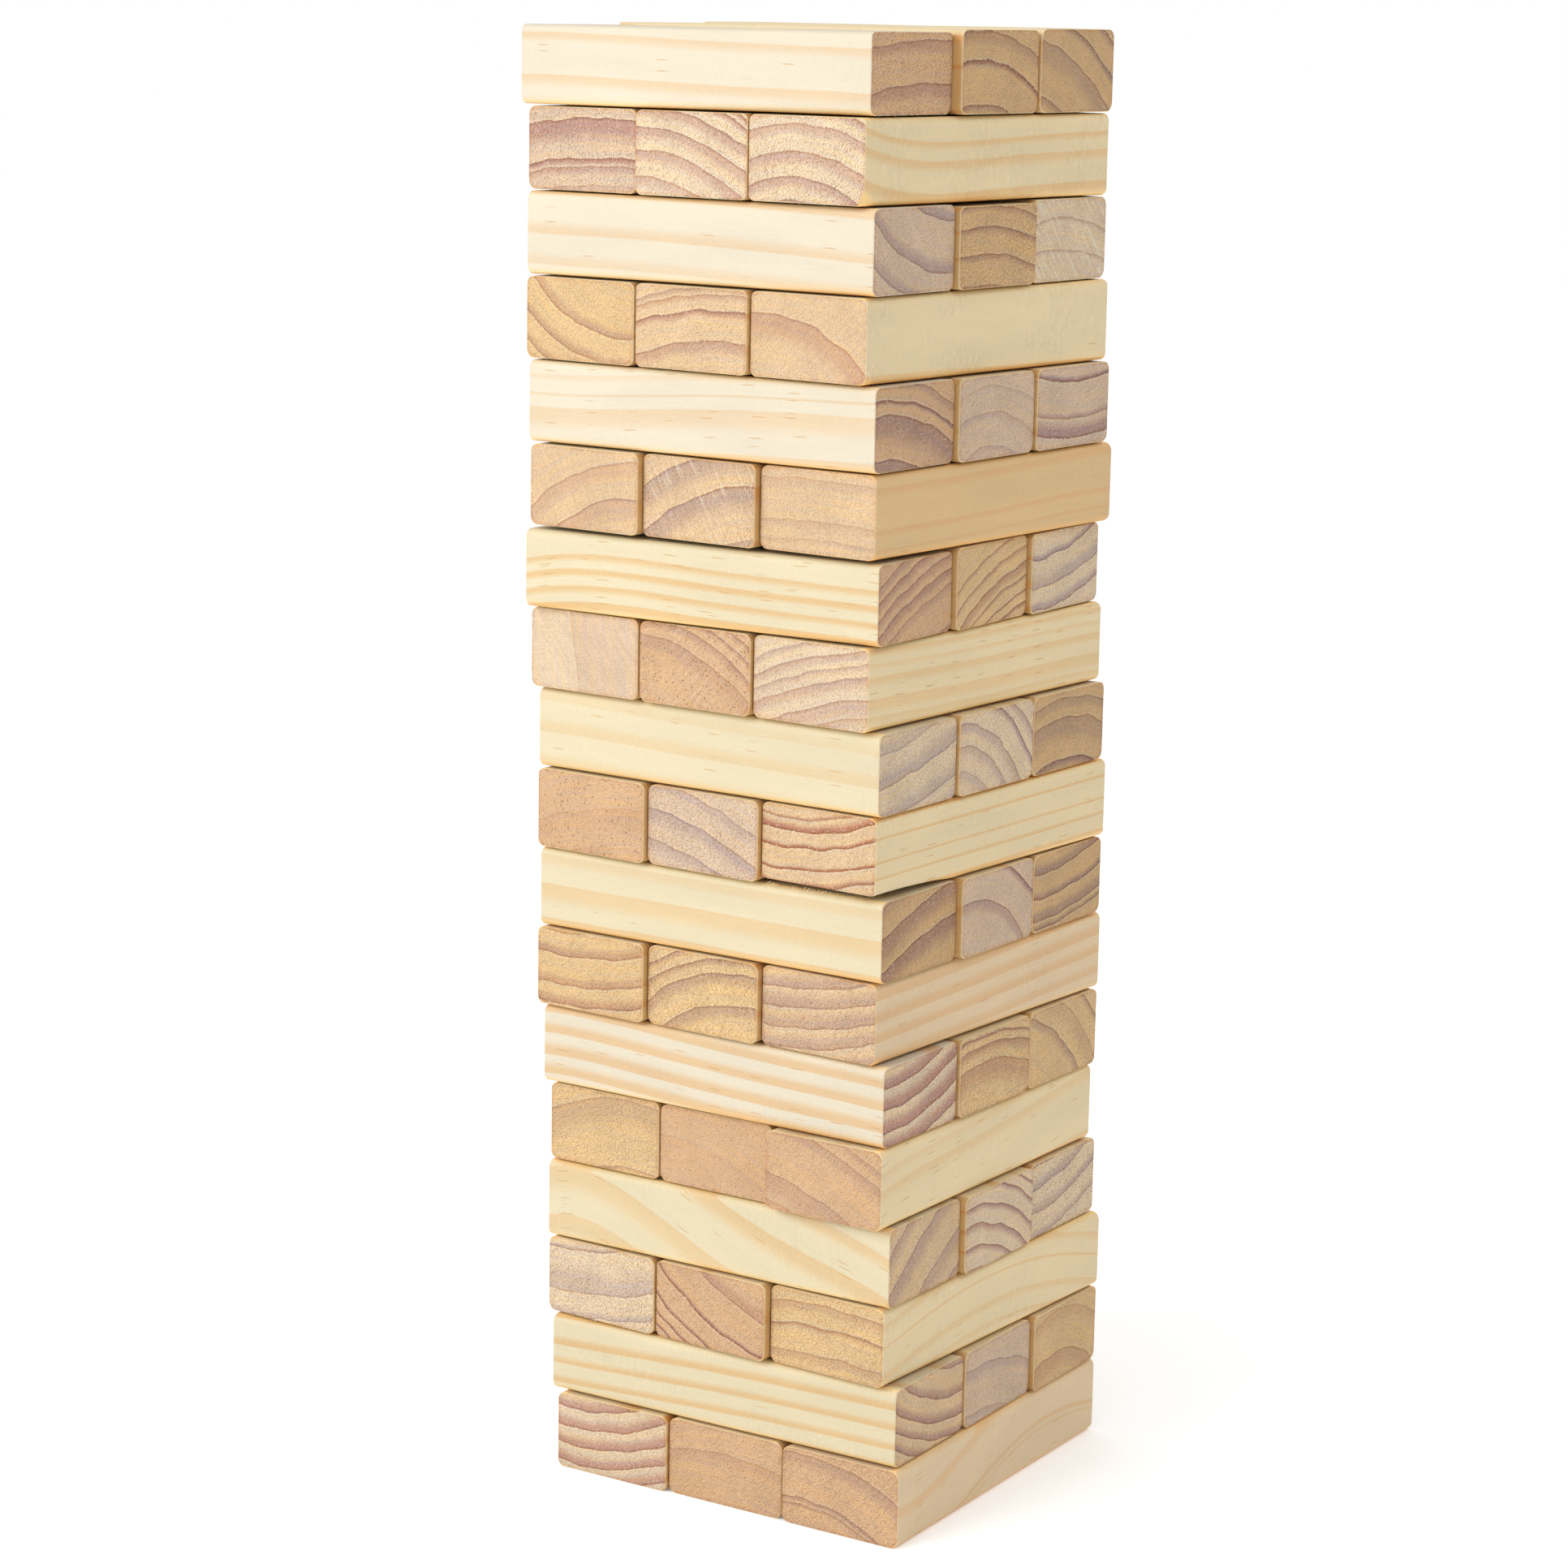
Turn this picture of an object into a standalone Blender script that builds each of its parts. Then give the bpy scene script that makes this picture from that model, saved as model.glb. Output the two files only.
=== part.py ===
"""Giant tumbling tower: a lawn game of identical pine blocks, stacked three to a level.

Each level lies across the one below it. Odd levels run along Y, even levels along X, and
the tower stands on the origin, centred on its own box. Units are metres, with +Z up.
"""

import math

import bmesh
import bpy
from mathutils import Matrix, Vector

MM = 0.001
INCH = 25.4 * MM

# Driving dimensions of one block: 2x3 lumber, dressed to 1.5 x 2.5 in and sawn to 7.5 in.
BLOCK_LENGTH = 7.5 * INCH
WIDTH_PITCH = 2.5 * INCH
LEVEL_PITCH = 1.5 * INCH
SIDE_GAP = 0.5 * MM
LEVEL_GAP = 0.3 * MM
BLOCK_WIDTH = WIDTH_PITCH - SIDE_GAP
BLOCK_THICKNESS = LEVEL_PITCH - LEVEL_GAP

# The four long edges are eased by the planer. The sawn ends are left crisp.
EDGE_RADIUS = 3.2 * MM
EDGE_SEGMENTS = 4

# Block names across an X-running and a Y-running level, from the front and the right.
EVEN_NAMES = ("front", "middle", "back")
ODD_NAMES = ("right", "middle", "left")

# How the tower was stacked by hand, from the bottom level up. The level's centre is in mm
# along X and Y, its turn is in degrees about Z, and each block's slide is in mm along its
# own length, in the order of the names above.
LEVELS = (
    # centre x, centre y, turn, slide of first, middle and last block
    (5.5, 9.0, 2.75, 0.0, 0.5, -1.0),
    (3.5, 8.5, 3.00, -1.5, -0.5, 2.0),
    (2.0, 8.5, -0.25, 3.0, -1.0, -2.0),
    (1.5, 7.5, 2.00, -1.5, 1.5, 0.0),
    (0.5, 6.5, 1.25, -4.0, 2.5, 2.0),
    (0.5, 4.5, 1.00, -1.0, 0.5, 0.5),
    (-1.0, 3.5, -1.00, 3.0, 0.0, -3.0),
    (0.5, 2.5, 0.75, -2.0, 1.0, 1.0),
    (0.5, 1.0, -1.50, 2.5, 0.0, -2.5),
    (0.5, 0.0, -0.25, -1.0, 0.5, 0.5),
    (-2.0, -3.0, -1.50, 1.5, -0.5, -1.0),
    (-2.5, -6.0, 2.00, -2.5, 0.0, 2.5),
    (1.0, -5.5, -1.75, 3.5, 0.0, -3.5),
    (0.0, -7.0, -0.25, -2.0, 0.5, 2.0),
    (-2.0, -7.5, -2.25, 1.5, -0.5, -1.0),
    (-2.0, -7.5, -0.75, -1.0, 1.5, -0.5),
    (-3.0, -7.5, -2.25, -0.5, -0.5, 1.0),
    (-3.5, -7.5, -0.50, -3.5, 1.5, 2.5),
)

# The wood's tones, from the palest sapwood to the warmest block.
TONES = {
    "pine_pale": (0.86, 0.73, 0.47),
    "pine_cream": (0.83, 0.66, 0.38),
    "pine_honey": (0.76, 0.54, 0.29),
    "pine_tan": (0.66, 0.46, 0.28),
}
WOOD_ROUGHNESS = 0.62

# Each level's tones, from the bottom level up, in the order of the names above.
LEVEL_TONES = (
    ("pine_cream", "pine_honey", "pine_tan"),
    ("pine_cream", "pine_pale", "pine_honey"),
    ("pine_pale", "pine_tan", "pine_cream"),
    ("pine_pale", "pine_cream", "pine_cream"),
    ("pine_pale", "pine_tan", "pine_honey"),
    ("pine_honey", "pine_cream", "pine_pale"),
    ("pine_honey", "pine_cream", "pine_tan"),
    ("pine_cream", "pine_pale", "pine_cream"),
    ("pine_cream", "pine_pale", "pine_honey"),
    ("pine_cream", "pine_pale", "pine_cream"),
    ("pine_cream", "pine_honey", "pine_cream"),
    ("pine_honey", "pine_cream", "pine_pale"),
    ("pine_honey", "pine_cream", "pine_honey"),
    ("pine_cream", "pine_pale", "pine_tan"),
    ("pine_pale", "pine_honey", "pine_honey"),
    ("pine_pale", "pine_cream", "pine_pale"),
    ("pine_cream", "pine_pale", "pine_tan"),
    ("pine_pale", "pine_cream", "pine_cream"),
)


def clear_scene():
    """Remove the objects of the scene that the script starts in."""
    for old in list(bpy.data.objects):
        bpy.data.objects.remove(old, do_unlink=True)


def make_wood(name, colour):
    """Bare planed pine of one tone."""
    wood = bpy.data.materials.new(name)
    wood.use_nodes = True
    shader = wood.node_tree.nodes["Principled BSDF"]
    shader.inputs["Base Color"].default_value = (*colour, 1.0)
    shader.inputs["Roughness"].default_value = WOOD_ROUGHNESS
    shader.inputs["Metallic"].default_value = 0.0
    return wood


def make_block_mesh(name, wood):
    """A block lying along X, its four long edges marked for easing."""
    shape = bmesh.new()
    bmesh.ops.create_cube(shape, size=1.0)
    size = Vector((BLOCK_LENGTH, BLOCK_WIDTH, BLOCK_THICKNESS))
    bmesh.ops.scale(shape, vec=size, verts=shape.verts)
    eased = shape.edges.layers.float.new("bevel_weight_edge")
    for edge in shape.edges:
        start, end = (vert.co for vert in edge.verts)
        runs_along = abs(end.x - start.x) > abs(end.y - start.y) + abs(end.z - start.z)
        edge[eased] = 1.0 if runs_along else 0.0
    mesh = bpy.data.meshes.new(name)
    shape.to_mesh(mesh)
    shape.free()
    mesh.materials.append(wood)
    return mesh


def ease_long_edges(block):
    """Round the marked edges as a planer's corner cutter leaves them."""
    easing = block.modifiers.new("eased_edges", "BEVEL")
    easing.limit_method = "WEIGHT"
    easing.width = EDGE_RADIUS
    easing.segments = EDGE_SEGMENTS
    easing.use_clamp_overlap = True


def stack_level(number, tower, collection, meshes):
    """Lay one level's three blocks side by side and return them."""
    centre_x, centre_y, turn, *slides = LEVELS[number - 1]
    is_even = number % 2 == 0
    names = EVEN_NAMES if is_even else ODD_NAMES
    heading = math.radians(turn if is_even else turn + 90.0)
    height = (number - 1) * LEVEL_PITCH + BLOCK_THICKNESS / 2
    centre = Vector((centre_x * MM, centre_y * MM, height))
    blocks = []
    for place, name in enumerate(names):
        block = bpy.data.objects.new(
            f"block_{number:02d}_{name}", meshes[LEVEL_TONES[number - 1][place]]
        )
        across = (place - 1) * WIDTH_PITCH
        offset = Vector((slides[place] * MM, across, 0.0))
        block.parent = tower
        block.location = centre + Matrix.Rotation(heading, 3, "Z") @ offset
        block.rotation_euler = (0.0, 0.0, heading)
        collection.objects.link(block)
        ease_long_edges(block)
        blocks.append(block)
    return blocks


def centre_on_origin(tower, blocks):
    """Move the tower's empty so that the blocks' box is centred over the origin."""
    bpy.context.view_layer.update()
    corners = [
        block.matrix_world @ Vector(corner) for block in blocks for corner in block.bound_box
    ]
    for axis in (0, 1):
        values = [corner[axis] for corner in corners]
        tower.location[axis] = -(min(values) + max(values)) / 2
    bpy.context.view_layer.update()


def main():
    clear_scene()
    collection = bpy.data.collections.new("giant_tumbling_tower")
    bpy.context.scene.collection.children.link(collection)
    tower = bpy.data.objects.new("tower", None)
    collection.objects.link(tower)
    meshes = {
        name: make_block_mesh(f"{name}_block", make_wood(name, colour))
        for name, colour in TONES.items()
    }
    blocks = []
    for number in range(1, len(LEVELS) + 1):
        blocks += stack_level(number, tower, collection, meshes)
    centre_on_origin(tower, blocks)


main()
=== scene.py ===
"""The giant tumbling tower's looks: 54 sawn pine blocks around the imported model.

Every block is built in mesh code to the size and place of its CAD node. Its wood is one
solid: a field of growth rings, set out for each block below, runs through the sawn ends
and the planed sides alike, so that a band on an end turns the corner into the side.
"""

import math
from dataclasses import dataclass
from functools import reduce

import bpy
import numpy as np
from mathutils import Matrix, Vector


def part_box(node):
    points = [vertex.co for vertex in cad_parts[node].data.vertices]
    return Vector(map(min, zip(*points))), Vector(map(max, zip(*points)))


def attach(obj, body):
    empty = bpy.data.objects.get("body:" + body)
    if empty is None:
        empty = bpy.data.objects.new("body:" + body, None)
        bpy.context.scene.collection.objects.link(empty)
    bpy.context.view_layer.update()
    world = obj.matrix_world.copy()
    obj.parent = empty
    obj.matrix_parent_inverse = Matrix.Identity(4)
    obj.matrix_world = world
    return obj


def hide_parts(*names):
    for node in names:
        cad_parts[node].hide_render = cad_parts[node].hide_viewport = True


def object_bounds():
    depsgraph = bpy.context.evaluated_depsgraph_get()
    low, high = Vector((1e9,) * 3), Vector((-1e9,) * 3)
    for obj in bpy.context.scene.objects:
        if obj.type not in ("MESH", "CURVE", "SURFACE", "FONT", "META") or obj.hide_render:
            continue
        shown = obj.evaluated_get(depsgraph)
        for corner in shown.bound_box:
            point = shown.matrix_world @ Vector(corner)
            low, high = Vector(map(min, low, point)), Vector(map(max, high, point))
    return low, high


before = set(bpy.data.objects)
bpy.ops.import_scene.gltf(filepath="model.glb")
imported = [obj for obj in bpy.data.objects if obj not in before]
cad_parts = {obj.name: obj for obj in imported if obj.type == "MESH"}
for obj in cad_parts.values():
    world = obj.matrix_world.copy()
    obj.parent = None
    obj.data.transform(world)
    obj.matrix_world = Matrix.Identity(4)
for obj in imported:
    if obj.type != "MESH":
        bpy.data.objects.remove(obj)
cad_box = [list(corner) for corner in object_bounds()]

MM = 0.001
BAND_GROUPS = 3
EVEN_PLACES = ("front", "middle", "back")
ODD_PLACES = ("right", "middle", "left")


def placed(origin, *axes):
    """The matrix that puts a thing at the origin given, along the three axes given."""
    return Matrix.Translation(origin) @ Matrix(axes).transposed().to_4x4()


def direction(azimuth, elevation):
    """The way to a viewer, whose azimuth in radians goes from the front to the right."""
    flat = math.cos(elevation)
    return Vector((math.sin(azimuth) * flat, -math.cos(azimuth) * flat, math.sin(elevation)))


# ---- the wood of each block


# The pale early wood's tones in plain white light, as 8-bit display colours.
END_TONES = {
    "cream": (194, 174, 146),
    "mauve": (184, 162, 138),
    "rose": (190, 164, 130),
    "gold": (190, 162, 120),
    "tan": (184, 152, 118),
    "honey": (180, 150, 110),
}
SIDE_TONES = {
    "ivory": (190, 180, 160),
    "straw": (200, 182, 145),
    "butter": (190, 178, 148),
    "peach": (195, 173, 140),
    "toffee": (190, 160, 116),
}


@dataclass
class Wood:
    """One block's timber, as seen on the end that faces the front or the right.

    end, side: tone of the pale early wood on the sawn ends and on the planed sides.
    growth: direction in degrees, on that end, in which the tree grew. 90 is straight up.
    radius: distance in mm from the block's centre to the tree's pith.
    bands: dark late wood, as (place in mm along growth, width in mm, strength).
    red: 0 for grey-mauve late wood, 1 for red-brown.
    drift: how far in mm the rings climb at five stations along the length.
    saw: direction in degrees and strength of the saw's marks on the ends.
    pits, specks: strength of canal pits and of torn pale specks, with painted highlights and shade, on the
    ends.
    flecks: share of the possible resin dashes that show on the sides.
    thin: how far in mm the top lies below the block's nominal height.
    jag: how far in mm the rings stray on the ends.
    ripples: strength of the planer's chatter on the sides.
    banding: strength of the late wood on the sides against the ends.
    chip: length, height and depth in mm of a chip off the nearest bottom corner.
    hollow: a hollow underside, as (start, end, depth) in mm along the block.
    fringe: torn fibres on that end's edges, as (-1 for the bottom or 1 for the top edge,
        start and end in mm from the middle, count).
    """

    end: str
    growth: float
    radius: float
    bands: tuple
    red: float
    side: str = "straw"
    drift: tuple = (0, 0, 0, 0, 0)
    saw: tuple = (60, 0.2)
    pits: float = 0.2
    specks: float = 0.6
    flecks: float = 0.1
    thin: float = 0.3
    jag: float = 0.15
    ripples: float = 0.6
    banding: float = 1.0
    chip: tuple = (0, 0, 0)
    hollow: tuple = (0, 0, 0)
    fringe: tuple = ()


# From the top level down. An even level's first block is its front one, an odd level's
# first block is its right one.
WOOD = {
    18: (
        Wood("tan", 93, 300, ((13, 4, 0.5), (-5.5, 5, 0.55), (-22, 4, 0.4)), 0.4, side="ivory",
             drift=(4, 3.5, 2, 1, 0), saw=(80, 0.3), pits=0.1, specks=0.8, flecks=0.08, thin=2.3,
             ripples=0.3, fringe=((-1, -28, 12, 16), (1, -28, 28, 22))),
        Wood("honey", 79, 75, ((16, 4, 0.5), (3.7, 2, 0.95), (-15.5, 2.5, 0.7)), 0.35, saw=(55, 0.4),
             specks=0.4, thin=0.9, jag=0.4, fringe=((1, -28, 20, 16),)),
        Wood("honey", 62, 120, ((27, 2.5, 0.7), (15, 2.5, 0.8), (2.5, 8, 0.55), (-22, 3, 0.6)), 0.1,
             saw=(125, 0.3), specks=0.3),
    ),
    17: (
        Wood("cream", 85, 75, ((23, 3, 0.6), (15.5, 4, 0.55), (3, 4.5, 0.6), (-8, 4, 0.65), (-18, 4, 0.6)),
             0.6, drift=(0, -7, -6.5, -5, -4), saw=(60, 0.15), specks=1.0, flecks=0.04, ripples=1.3,
             chip=(11, 8, 4), fringe=((-1, -8, 22, 16),)),
        Wood("cream", 73, 110, ((27, 2, 0.8), (23, 2, 0.8), (16.5, 4, 0.7), (7.2, 4.5, 0.65),
             (-3, 4.5, 0.6), (-15, 4, 0.5)), 0.6, saw=(115, 0.2), specks=0.9, fringe=((-1, -12, 28, 34),)),
        Wood("mauve", 93, 250, ((14, 8, 0.8), (-3.5, 2.2, 0.85), (-7, 3, 0.5), (-16, 3, 0.25)), 0.7,
             saw=(95, 0.3), pits=0.5, specks=0.9),
    ),
    16: (
        Wood("mauve", 249, 80, ((-16.8, 4, 0.6), (6.3, 4.5, 0.6), (20.5, 4, 0.5), (32, 4, 0.4)), 0.2,
             side="ivory", drift=(5, 4.5, 3.7, 2, 0), saw=(120, 0.5), pits=0.1, specks=0.4, flecks=0.12,
             ripples=0.3),
        Wood("honey", 84, 150, ((17.8, 2.5, 0.5), (7.8, 2.5, 0.6), (-3.8, 2.5, 0.6), (-17.8, 2.5, 0.4)),
             0.35, saw=(90, 0.2), specks=0.9, thin=1.3, fringe=((1, -28, 28, 24),)),
        Wood("cream", 86, 120, ((10, 1.5, 0.35), (-4, 1.5, 0.3)), 0.4, saw=(130, 1.0), specks=0.4,
             thin=0.2),
    ),
    15: (
        Wood("rose", 70, 75, ((5.5, 1.3, 0.5), (5.5, 9, 0.5)), 0.8, drift=(0, -0.5, -1.5, -2.5, -2.5),
             saw=(42, 0.5), pits=0.1, specks=0.3, flecks=0.06, ripples=1.4),
        Wood("rose", 97, 150, ((18, 2, 0.35), (15, 2, 0.4), (8.3, 2.5, 0.8), (-5.5, 4.5, 0.6)), 0.6,
             saw=(50, 0.2)),
        Wood("gold", 247, 70, ((2.2, 3.5, 0.6), (14.9, 3, 0.6), (25.5, 3, 0.55)), 0.5, saw=(40, 0.2),
             specks=0.5),
    ),
    14: (
        Wood("tan", 76, 110, ((18.3, 3, 0.5), (9.7, 1.5, 0.9), (3.2, 9, 0.8), (-16.5, 6, 0.75)), 0.15,
             side="ivory", drift=(-8, -6.5, -3, -1, 0), saw=(75, 0.2), pits=0.9, specks=0.3, flecks=0.35,
             ripples=0.3, banding=0.6, fringe=((1, -10, 8, 14),)),
        Wood("mauve", 85, 60, ((14, 2, 0.15), (2.5, 3, 0.25), (-13, 3, 0.25)), 0.2, saw=(85, 0.4),
             specks=0.5),
        Wood("mauve", 270, 200, ((-11.3, 2, 0.95), (6, 2, 0.5), (15, 5, 0.85)), 0.4, saw=(45, 0.3),
             pits=0.5, specks=0.5, thin=0.2),
    ),
    13: (
        Wood("rose", 90, 400, ((15, 4, 0.25), (-3.5, 3, 0.25), (-12, 2, 0.2)), 0.3, side="toffee",
             drift=(0, 0.5, 1.5, 3, 3.5), saw=(95, 0.3), pits=0.1, specks=0.4, flecks=0.04, ripples=0.5,
             banding=1.5),
        Wood("rose", 112, 100, ((18.7, 8, 0.65), (2.3, 1, 0.6), (2.3, 8, 0.75), (-22, 3, 0.5)), 0.15,
             saw=(120, 0.7), pits=0.4),
        Wood("rose", 112, 90, ((7.7, 1, 0.4), (7.7, 6, 0.35), (-8.2, 1, 0.5), (-8.2, 8, 0.35)), 0.7,
             saw=(110, 0.5), specks=0.3),
    ),
    12: (
        Wood("tan", 112, 200, ((20, 3, 0.5), (14, 3, 0.65), (7.5, 3, 0.55), (1, 3.5, 0.65), (-6, 3, 0.35),
             (-24, 5, 0.4)), 0.3, side="butter", drift=(-2.5, 2.5, 1.5, 0.5, 0), saw=(115, 0.4), pits=0.7,
             specks=0.3, flecks=0.55, thin=1.4, ripples=0.4, banding=1.4),
        Wood("gold", 112, 150, ((13, 1.5, 0.5), (5.5, 2, 0.5), (-2, 3.5, 0.65), (-8, 1.5, 0.55),
             (-14.5, 1.2, 0.7), (-20, 2, 0.75)), 0.5, saw=(40, 0.3), specks=0.3),
        Wood("cream", 281, 150, ((-22, 3, 0.5), (-8.6, 2.5, 0.8), (5, 5, 0.6), (15.2, 3, 0.75)), 0.1,
             saw=(120, 0.4), specks=0.5),
    ),
    11: (
        Wood("cream", 106, 300, ((18, 2.5, 0.35), (11, 3, 0.5), (5, 2.5, 0.35), (-0.7, 4, 0.5),
             (-10.3, 6, 0.5), (-18, 3, 0.4)), 0.6, drift=(0, -1, -1.5, -1, -1.5), saw=(100, 0.2), pits=0.4,
             flecks=0.3, ripples=0.5),
        Wood("tan", 68, 90, ((26, 2, 0.5), (20, 2, 0.55), (14, 3, 0.5), (6, 6, 0.4)), 0.3, saw=(45, 0.6),
             pits=1.0, specks=0.4, fringe=((1, -28, 0, 18),)),
        Wood("cream", 190, 300, ((6, 60, 0.2),), 0.8, saw=(130, 0.5), pits=0.1, specks=0.1),
    ),
    10: (
        Wood("cream", 283, 200, ((-24, 4, 0.3), (-13, 5, 0.35), (1.5, 6, 0.55), (17, 5, 0.5), (27, 4, 0.4)),
             0.05, side="butter", drift=(3.5, 2.8, 1.5, 0.7, 0), saw=(110, 0.2), pits=0.4, flecks=0.15,
             ripples=0.4, banding=0.7),
        Wood("cream", 55, 60, ((23.8, 3, 0.55), (16.3, 2.5, 0.8), (4, 4, 0.5), (-6, 4, 0.45),
             (-18, 5, 0.3)), 0.2),
        Wood("honey", 88, 90, ((15.5, 4, 0.5), (6, 9, 0.55), (-13.5, 3, 1.0)), 0.1, saw=(80, 0.2), pits=0.4,
             specks=0.4, thin=0.5),
    ),
    9: (
        Wood("rose", 277, 130, ((-13.5, 1.2, 0.5), (-7.8, 2.8, 1.0), (0, 1.6, 0.95), (9.9, 1.2, 0.9),
             (17, 1.8, 0.75), (25, 2, 0.7)), 1.0, drift=(0, 0.5, 0.8, 1.2, 1.5), saw=(90, 0.15), pits=0.5,
             ripples=1.0, hollow=(-135, -35, 2.8), fringe=((-1, -28, 28, 44),)),
        Wood("mauve", 72, 200, ((14, 4, 0.4), (1, 5, 0.6), (-13, 4, 0.5)), 0.05, saw=(110, 0.3),
             specks=0.9),
        Wood("tan", 100, 150, ((3, 8, 0.15), (-15, 4, 0.12)), 0.8, pits=1.0, specks=0.4),
    ),
    8: (
        Wood("honey", 106, 300, ((25, 5, 0.5), (12, 8, 0.75), (-3, 7, 0.85)), 0.3, side="butter",
             drift=(0.5, 0.5, 0.3, 0, 0), saw=(110, 0.5), pits=0.8, specks=0.4, flecks=0.05, ripples=0.4,
             banding=0.7),
        Wood("mauve", 65, 55, ((21, 2.5, 0.85), (2.3, 4.5, 0.55)), 0.5, saw=(50, 0.5), pits=0.4,
             specks=0.3),
        Wood("honey", 278, 200, ((-10.6, 4, 0.75), (1.3, 2.5, 0.8), (12, 4.5, 0.75), (16, 2, 0.7)), 0.1,
             saw=(115, 0.3), specks=0.3),
    ),
    7: (
        Wood("rose", 279, 200, ((-22, 4, 0.5), (-11.5, 4.5, 0.6), (-2.4, 5, 0.6), (7, 5, 0.6),
             (15.8, 4.5, 0.6), (25, 4, 0.5)), 0.3, side="peach", drift=(0, 1.5, 3, 5, 7), saw=(60, 0.4),
             pits=0.4, specks=0.7, flecks=0.12, ripples=0.9, fringe=((-1, -28, -12, 10), (-1, 18, 28, 6))),
        Wood("gold", 108, 75, ((22.3, 2.5, 0.7), (15.7, 2.5, 0.7), (9, 4.5, 0.65), (-5.5, 4.5, 0.65)), 0.3,
             saw=(110, 0.5), specks=0.9),
        Wood("gold", 275, 180, ((-18, 3, 0.4), (-6.7, 3.5, 0.65), (7.5, 3.5, 0.6), (17, 3.5, 0.7)), 0.6,
             saw=(45, 0.5)),
    ),
    6: (
        Wood("cream", 282, 130, ((-22, 5, 0.8), (-11.4, 5, 0.85), (-1.2, 5, 0.9), (9.3, 5.5, 0.9),
             (18.5, 5, 0.85), (28, 4, 0.7)), 0.7, side="ivory", drift=(6, 5.5, 3, 1.5, 0), saw=(60, 0.1),
             pits=0.3, specks=0.7, flecks=0.2, ripples=0.5),
        Wood("gold", 86, 110, ((17.5, 1.5, 0.7), (12.5, 3.5, 0.6), (3.5, 8, 0.5)), 0.6, saw=(95, 0.2),
             specks=1.0, thin=0.5, fringe=((-1, -28, 6, 26),)),
        Wood("gold", 50, 90, ((25.7, 2.5, 0.6), (14, 8, 0.3), (-1, 3.5, 0.6)), 0.2, saw=(120, 0.2)),
    ),
    5: (
        Wood("tan", 68, 160, ((22, 3, 0.3), (15, 4.5, 0.4), (-9.4, 8, 0.4), (-22, 3, 0.3)), 0.2,
             drift=(0, 5, 7.5, 12, 16), saw=(48, 0.5), pits=0.1, specks=0.4, flecks=0.3),
        Wood("tan", 75, 120, ((0, 6, 0.08),), 0.8, saw=(60, 0.1), pits=0.6, specks=0.15, thin=0.4),
        Wood("gold", 100, 80, ((15.8, 1, 0.35), (15.8, 11, 0.4), (-17, 1.5, 0.35)), 0.3, saw=(50, 0.3),
             specks=0.7),
    ),
    4: (
        Wood("rose", 125, 250, ((38, 6, 0.5), (24, 5, 0.55), (9.5, 7, 0.6), (-11.5, 8, 0.5), (-27, 6, 0.5),
             (-42, 5, 0.4)), 0.1, side="butter", drift=(59, 53, 31, 14, 0), saw=(125, 0.3), pits=0.1,
             flecks=0.25),
        Wood("cream", 70, 80, ((25, 1.5, 0.75), (18.2, 2, 0.8), (8.6, 2.5, 0.75), (-0.8, 3, 0.75),
             (-10.9, 2.5, 0.75), (-22, 2.5, 0.55)), 0.5, saw=(70, 0.2), specks=0.5),
        Wood("cream", 283, 150, ((-20, 3, 0.4), (-9, 4, 0.6), (3, 3.5, 0.6), (15, 3, 0.5)), 0.15,
             saw=(95, 0.2), pits=0.6, specks=1.0),
    ),
    3: (
        Wood("gold", 90, 250, ((26, 3, 0.5), (14, 4, 0.4), (3.5, 1.8, 0.6), (-9.5, 4, 0.4), (-20, 3, 0.4)),
             0.5, drift=(0, 8.5, 12, 8, -3), pits=0.1, specks=0.8, ripples=1.0),
        Wood("tan", 240, 110, ((-11.2, 5, 0.5), (5.8, 1.5, 0.95), (17.2, 1.5, 0.95), (23.3, 1.4, 0.9),
             (28.5, 1.4, 0.85)), 0.45, saw=(50, 0.2)),
        Wood("cream", 278, 200, ((-15, 1.5, 0.65), (5.8, 9, 0.5), (18, 3, 0.45)), 0.1, saw=(90, 0.2),
             specks=1.0, thin=0.4, fringe=((-1, -28, 28, 20),)),
    ),
    2: (
        Wood("rose", 253, 110, ((-18.7, 3, 0.6), (-5.6, 3.5, 0.75), (5.6, 3.5, 0.8), (13.6, 3.2, 0.75),
             (21.8, 3.2, 0.75), (30, 3, 0.6)), 0.4, side="butter", drift=(-5.5, -3.5, -1.5, -0.5, 0),
             saw=(70, 0.1), specks=0.5, flecks=0.03, ripples=0.7),
        Wood("mauve", 80, 150, ((7.4, 4.5, 0.4), (-14.8, 4, 0.35)), 0.1, saw=(110, 0.3), pits=0.4,
             specks=0.4),
        Wood("gold", 82, 60, ((16, 5, 0.25), (-4.5, 8, 0.4)), 0.6, pits=0.4, specks=0.4),
    ),
    1: (
        Wood("tan", 76, 90, ((14, 5, 0.45), (-7.5, 2, 0.55), (-10.5, 1.5, 0.4), (-24, 3, 0.4),
             (-38, 3, 0.3)), 0.2, side="peach", drift=(0, 7, 22, 28.5, 22.5), saw=(48, 0.5), pits=0.1,
             flecks=0.15),
        Wood("tan", 90, 120, ((6.8, 5, 0.28),), 0.3, saw=(50, 0.4), specks=0.5),
        Wood("cream", 280, 110, ((-22, 4, 0.7), (-13.1, 4, 0.8), (-3.8, 4, 0.85), (5.4, 4, 0.85),
             (14.4, 4, 0.85), (23, 4, 0.8)), 0.8, saw=(120, 0.1)),
    ),
}


def blend(pair, share):
    """Between the first and the second of a pair."""
    return pair[0] + (pair[1] - pair[0]) * share


def linear(colour):
    """An 8-bit display colour as the linear values that a shader takes."""
    shares = np.array(colour, float) / 255
    return np.where(shares <= 0.04045, shares / 12.92, ((shares + 0.055) / 1.055) ** 2.4)


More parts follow.
